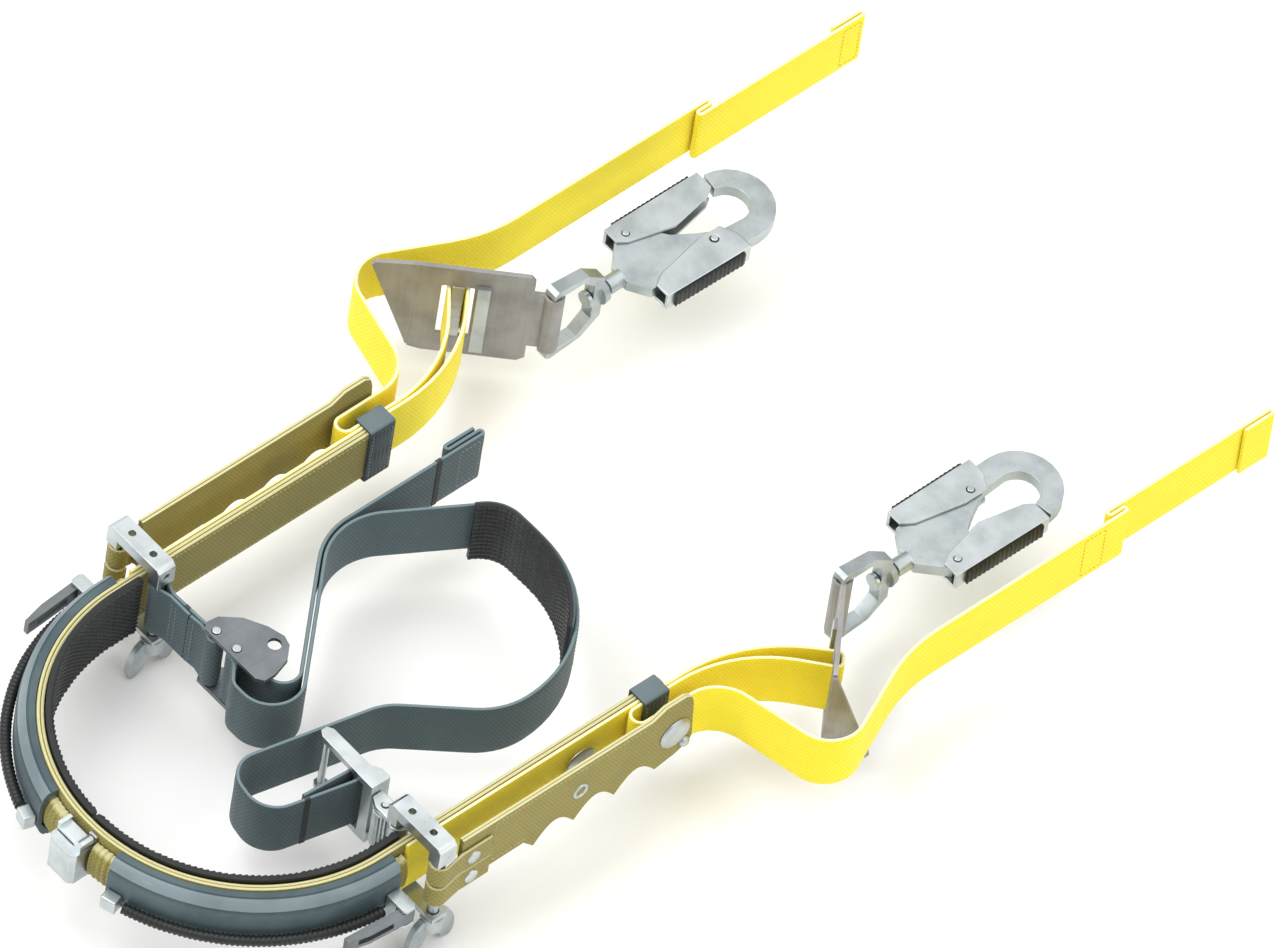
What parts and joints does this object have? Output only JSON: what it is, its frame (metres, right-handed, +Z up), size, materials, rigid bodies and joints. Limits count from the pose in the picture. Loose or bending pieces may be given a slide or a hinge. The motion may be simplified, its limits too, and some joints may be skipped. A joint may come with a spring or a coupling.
{
  "type": "tree climbing saddle",
  "caption": "Pole and tree climbing belt: a padded U-shaped band with clamped grip arms, webbing adjusters, swivel snap hooks and an adjustable inner strap.",
  "frame": {"origin": "centre of the bounding box's lower face", "axes": "+X along the arms from the belly towards the hooks, +Y towards the climber's left, +Z up, across the width of the webbing"},
  "size_m": [0.8232, 0.4622, 0.1033],
  "materials": {
    "yellow_webbing": "woven, fluorescent yellow",
    "olive_webbing": "coated olive webbing, stitched edge",
    "slate_webbing": "woven, slate grey",
    "grey_rubber": "satin moulded",
    "black_rubber": "ribbed, matte",
    "steel": "zinc-plated, satin",
    "grey_steel": "grey coated, satin"
  },
  "bodies": {
    "belt": {"inner_band": "olive_webbing", "centre_buckle_box": "steel", "grip_liner_left": "black_rubber", "ribbed_core_left": "olive_webbing", "bumper_left": "grey_rubber", "tension_cable_left": "black_rubber", "cable_block_left": "steel", "toggle_base_left": "steel", "bridge_bar_left": "steel", "lower_bar_left": "steel", "inner_bolt_left": "steel", "outer_bolt_left": "steel", "keeper_left": "grey_rubber", "arm_webbing_left": "yellow_webbing", "webbing_bar_left": "steel", "grip_liner_right": "black_rubber", "ribbed_core_right": "olive_webbing", "bumper_right": "grey_rubber", "tension_cable_right": "black_rubber", "cable_block_right": "steel", "toggle_base_right": "steel", "bridge_bar_right": "steel", "lower_bar_right": "steel", "inner_bolt_right": "steel", "outer_bolt_right": "steel", "keeper_right": "grey_rubber", "arm_webbing_right": "yellow_webbing", "webbing_bar_right": "steel", "anchor_strap": "slate_webbing", "buckle_frame": "grey_steel", "buckle_anchor_bar": "steel", "buckle_strap_bar": "steel", "inner_strap": "slate_webbing", "pole_pad": "black_rubber", "strap_frame": "steel", "cam_link": "steel"},
    "arm_plate_left": {"outer_plate_left": "olive_webbing"},
    "toggle_left": {"toggle_lever_left": "steel"},
    "adjuster_left": {"adjuster_plate_left": "grey_steel"},
    "eye_left": {"swivel_eye_left": "steel"},
    "hook_left": {"hook_body_left": "steel", "gate_pin_left": "steel", "lock_pin_left": "steel"},
    "gate_left": {"hook_gate_left": "steel"},
    "lock_left": {"lock_lever_left": "steel"},
    "inner_nut_left": {"inner_wing_nut_left": "steel"},
    "outer_nut_left": {"outer_wing_nut_left": "steel"},
    "arm_plate_right": {"outer_plate_right": "olive_webbing"},
    "toggle_right": {"toggle_lever_right": "steel"},
    "adjuster_right": {"adjuster_plate_right": "grey_steel"},
    "eye_right": {"swivel_eye_right": "steel"},
    "hook_right": {"hook_body_right": "steel", "gate_pin_right": "steel", "lock_pin_right": "steel"},
    "gate_right": {"hook_gate_right": "steel"},
    "lock_right": {"lock_lever_right": "steel"},
    "inner_nut_right": {"inner_wing_nut_right": "steel"},
    "outer_nut_right": {"outer_wing_nut_right": "steel"},
    "centre_latch": {"centre_latch_lever": "steel"},
    "drum": {"ribbed_drum": "steel"}
  },
  "joints": [
    {"name": "arm_plate_swing_left", "type": "hinge", "parent": "belt", "child": "arm_plate_left", "pos_m": [-0.2356, 0.1525, 0.06182], "axis": [0, 0, 1], "range_deg": [0, 40]},
    {"name": "toggle_open_left", "type": "hinge", "parent": "belt", "child": "toggle_left", "pos_m": [-0.2626, 0.1565, 0.06182], "axis": [0, 0, -1], "range_deg": [0, 95]},
    {"name": "inner_nut_turn_left", "type": "hinge", "parent": "belt", "child": "inner_nut_left", "pos_m": [-0.2356, 0.1135, 0.01957], "axis": [0, 0, 1], "continuous": true},
    {"name": "outer_nut_turn_left", "type": "hinge", "parent": "belt", "child": "outer_nut_left", "pos_m": [-0.2356, 0.1525, 0.01957], "axis": [0, 0, 1], "continuous": true},
    {"name": "adjuster_tilt_left", "type": "hinge", "parent": "belt", "child": "adjuster_left", "pos_m": [0.0634, 0.179, 0.06182], "axis": [0, 0, 1], "range_deg": [-8, 3]},
    {"name": "eye_swing_left", "type": "hinge", "parent": "adjuster_left", "child": "eye_left", "pos_m": [0.10568, 0.13672, 0.06182], "axis": [0, 0, 1], "range_deg": [-28, 4]},
    {"name": "hook_swivel_left", "type": "hinge", "parent": "eye_left", "child": "hook_left", "pos_m": [0.1614, 0.13672, 0.06182], "axis": [1, 0, 0], "continuous": true},
    {"name": "gate_open_left", "type": "hinge", "parent": "hook_left", "child": "gate_left", "pos_m": [0.1844, 0.15772, 0.06182], "axis": [0, 0, -1], "range_deg": [0, 22], "stiffness_Nm_per_rad": 0.08, "springref_deg": -8.59},
    {"name": "lock_squeeze_left", "type": "hinge", "parent": "hook_left", "child": "lock_left", "pos_m": [0.2264, 0.12172, 0.06182], "axis": [0, 0, -1], "range_deg": [0, 8], "stiffness_Nm_per_rad": 0.15, "springref_deg": -5.73},
    {"name": "arm_plate_swing_right", "type": "hinge", "parent": "belt", "child": "arm_plate_right", "pos_m": [-0.2356, -0.1525, 0.06182], "axis": [0, 0, -1], "range_deg": [0, 40]},
    {"name": "toggle_open_right", "type": "hinge", "parent": "belt", "child": "toggle_right", "pos_m": [-0.2626, -0.1565, 0.06182], "axis": [0, 0, 1], "range_deg": [0, 95]},
    {"name": "inner_nut_turn_right", "type": "hinge", "parent": "belt", "child": "inner_nut_right", "pos_m": [-0.2356, -0.1135, 0.01957], "axis": [0, 0, 1], "continuous": true},
    {"name": "outer_nut_turn_right", "type": "hinge", "parent": "belt", "child": "outer_nut_right", "pos_m": [-0.2356, -0.1525, 0.01957], "axis": [0, 0, 1], "continuous": true},
    {"name": "adjuster_tilt_right", "type": "hinge", "parent": "belt", "child": "adjuster_right", "pos_m": [0.0634, -0.179, 0.06182], "axis": [0, 0, -1], "range_deg": [-8, 3]},
    {"name": "eye_swing_right", "type": "hinge", "parent": "adjuster_right", "child": "eye_right", "pos_m": [0.10568, -0.13672, 0.06182], "axis": [0, 0, -1], "range_deg": [-28, 4]},
    {"name": "hook_swivel_right", "type": "hinge", "parent": "eye_right", "child": "hook_right", "pos_m": [0.1614, -0.13672, 0.06182], "axis": [1, 0, 0], "continuous": true},
    {"name": "gate_open_right", "type": "hinge", "parent": "hook_right", "child": "gate_right", "pos_m": [0.1844, -0.15772, 0.06182], "axis": [0, 0, 1], "range_deg": [0, 22], "stiffness_Nm_per_rad": 0.08, "springref_deg": -8.59},
    {"name": "lock_squeeze_right", "type": "hinge", "parent": "hook_right", "child": "lock_right", "pos_m": [0.2264, -0.12172, 0.06182], "axis": [0, 0, 1], "range_deg": [0, 8], "stiffness_Nm_per_rad": 0.15, "springref_deg": -5.73},
    {"name": "centre_latch_lift", "type": "hinge", "parent": "belt", "child": "centre_latch", "pos_m": [-0.3996, -0.009, 0.07837], "axis": [1, 0, 0], "range_deg": [0, 90]},
    {"name": "drum_spin", "type": "hinge", "parent": "belt", "child": "drum", "pos_m": [-0.2336, -0.0984, 0.06182], "axis": [0, 0, 1], "continuous": true}
  ]
}
